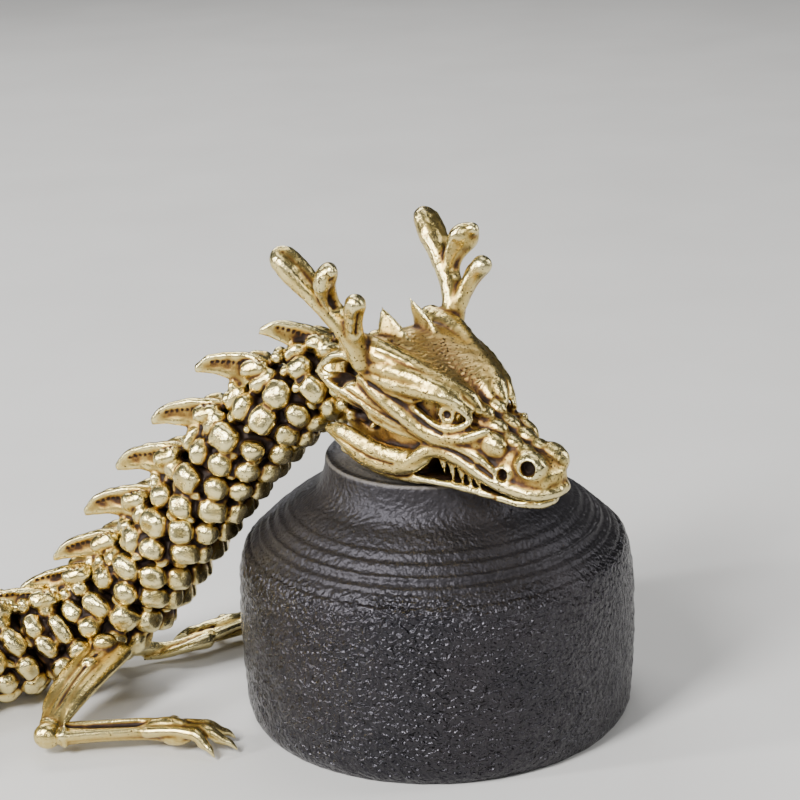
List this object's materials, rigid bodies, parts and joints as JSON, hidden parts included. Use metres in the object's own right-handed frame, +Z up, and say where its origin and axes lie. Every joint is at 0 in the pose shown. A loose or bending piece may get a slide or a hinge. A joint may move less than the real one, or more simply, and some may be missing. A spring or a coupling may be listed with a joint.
{
  "type": "dragon sculpture",
  "caption": "Cast brass dragon of jointed scaly links, resting its antlered head on a turned dark stoneware drum plinth, with four clawed legs and a leaf tail.",
  "frame": {"origin": "centre of the plinth's flat underside, on the surface it stands on", "axes": "+Z up along the plinth's axis, +X the way the dragon faces along its length (head end), -Y the side seen in the picture"},
  "size_m": [0.2904, 0.094, 0.1005],
  "materials": {
    "brass": "aged, brown in the recesses and rubbed bright on the high spots",
    "stoneware": "pebbled satin, nearly black"
  },
  "bodies": {
    "root": {"foreleg_left_lower": "brass", "foreleg_left_upper": "brass", "foreleg_right_lower": "brass", "foreleg_right_upper": "brass", "head": "brass", "hindleg_left_lower": "brass", "hindleg_left_upper": "brass", "hindleg_right_lower": "brass", "hindleg_right_upper": "brass", "link_01": "brass", "link_02": "brass", "link_03": "brass", "link_04": "brass", "link_05": "brass", "link_06": "brass", "link_07": "brass", "link_08": "brass", "link_09": "brass", "link_10": "brass", "link_11": "brass", "link_12": "brass", "link_13": "brass", "link_14": "brass", "link_15": "brass", "link_16": "brass", "link_17": "brass", "link_18": "brass", "link_19": "brass", "link_20": "brass", "link_21": "brass", "link_22": "brass", "link_23": "brass", "plinth": "stoneware", "tail": "brass"}
  },
  "joints": []
}
